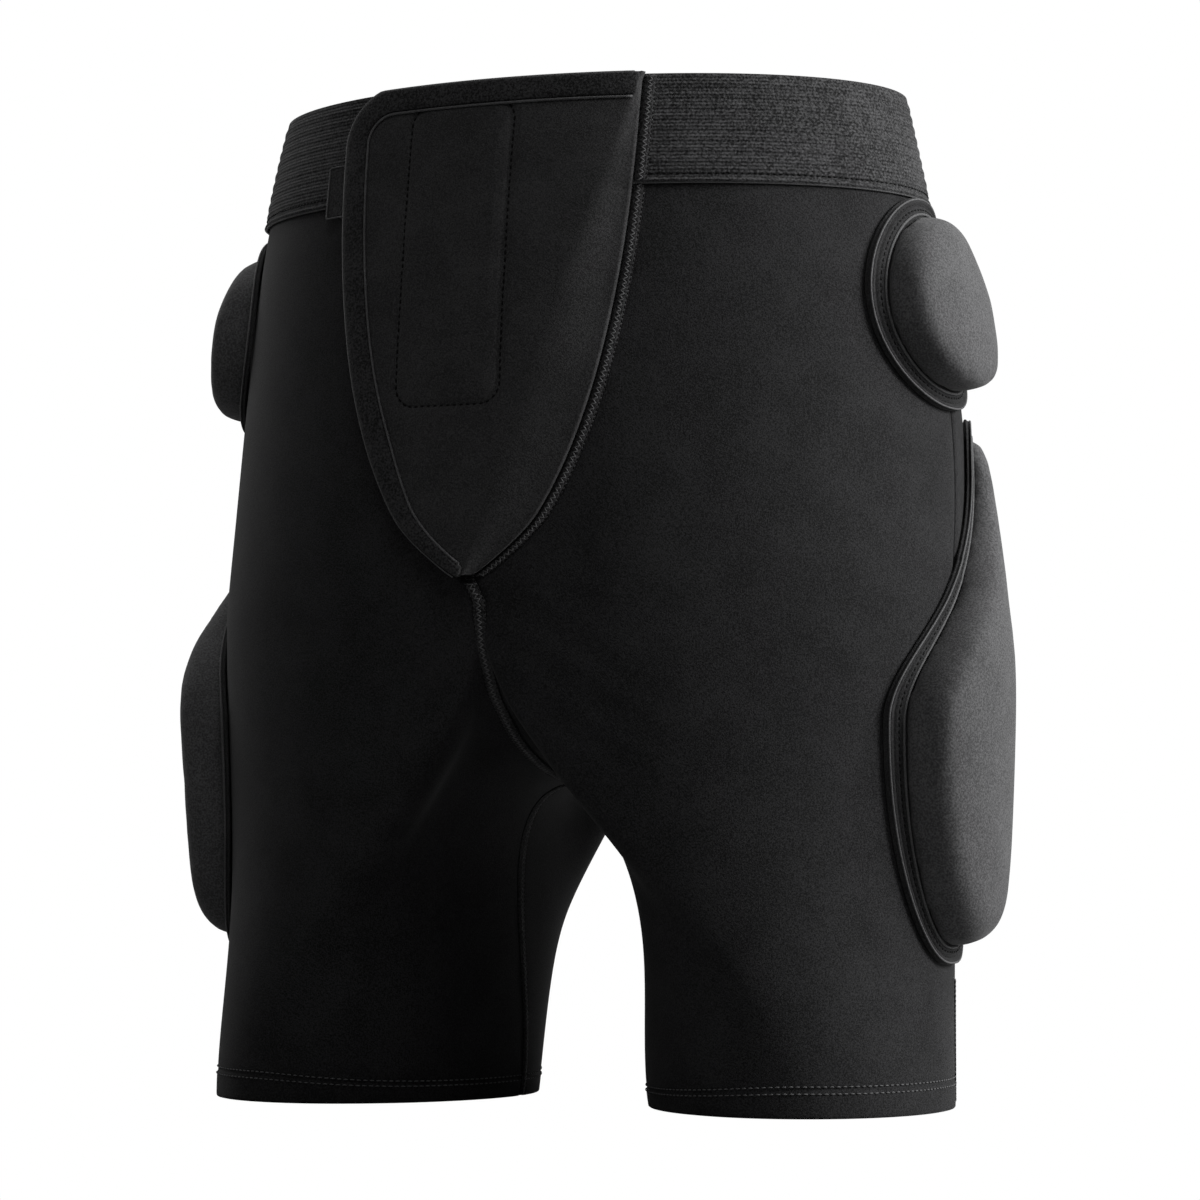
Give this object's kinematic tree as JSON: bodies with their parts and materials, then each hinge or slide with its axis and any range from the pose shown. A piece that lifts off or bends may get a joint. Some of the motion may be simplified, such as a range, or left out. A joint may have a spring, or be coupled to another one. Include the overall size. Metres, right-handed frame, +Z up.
{
  "type": "padded impact shorts",
  "caption": "Close-fitting shorts with an elastic waistband, a hook-and-loop fly flap, and sewn foam pads over the hips, thighs, seat and tailbone.",
  "frame": {"origin": "on the ground plane, under the middle of the whole object's box, pads included", "axes": "+Z up from the leg hems to the waistband, -Y the wearer's front, +X the wearer's left"},
  "size_m": [0.4296, 0.2778, 0.48],
  "materials": {
    "shell_cloth": "fine knit",
    "elastic": "ribbed elastic",
    "binding": "folded knit",
    "hook_tape": "hooks",
    "loop_tape": "brushed loops",
    "thread": "flatlock thread",
    "pad_border": "fine knit",
    "pad_cover": "smooth knit",
    "piping": "corded seam",
    "foam": "closed-cell foam"
  },
  "bodies": {
    "shorts": {"left_front_panel": "shell_cloth", "right_front_panel": "shell_cloth", "left_back_panel": "shell_cloth", "right_back_panel": "shell_cloth", "fly_underlap": "shell_cloth", "left_leg_hem": "shell_cloth", "right_leg_hem": "shell_cloth", "flap_root": "shell_cloth", "elastic_waistband": "elastic", "waistband_tab": "binding", "loop_patch": "loop_tape", "flap_tip_bar_tack": "thread", "flap_seam": "thread", "waistband_end_seam": "thread", "centre_seam": "thread", "left_inseam": "thread", "right_inseam": "thread", "left_side_seam": "thread", "right_side_seam": "thread", "left_hip_pad_base": "pad_border", "left_hip_pad_foam": "foam", "left_hip_pad_cover": "pad_cover", "left_hip_pad_piping": "piping", "right_hip_pad_base": "pad_border", "right_hip_pad_foam": "foam", "right_hip_pad_cover": "pad_cover", "right_hip_pad_piping": "piping", "left_thigh_pad_base": "pad_border", "left_thigh_pad_foam": "foam", "left_thigh_pad_cover": "pad_cover", "left_thigh_pad_piping": "piping", "right_thigh_pad_base": "pad_border", "right_thigh_pad_foam": "foam", "right_thigh_pad_cover": "pad_cover", "right_thigh_pad_piping": "piping", "left_seat_pad_base": "pad_border", "left_seat_pad_foam": "foam", "left_seat_pad_cover": "pad_cover", "left_seat_pad_piping": "piping", "right_seat_pad_base": "pad_border", "right_seat_pad_foam": "foam", "right_seat_pad_cover": "pad_cover", "right_seat_pad_piping": "piping", "tailbone_pad_base": "pad_border", "tailbone_pad_foam": "foam", "tailbone_pad_cover": "pad_cover", "tailbone_pad_piping": "piping"},
    "flap": {"front_flap": "shell_cloth", "flap_binding": "binding", "hook_patch": "hook_tape"}
  },
  "joints": [
    {"name": "flap_open", "type": "hinge", "parent": "shorts", "child": "flap", "pos_m": [-0.006, -0.1473, 0.246], "axis": [0.2951, 0.1354, 0.9458], "range_deg": [0, 110]}
  ]
}
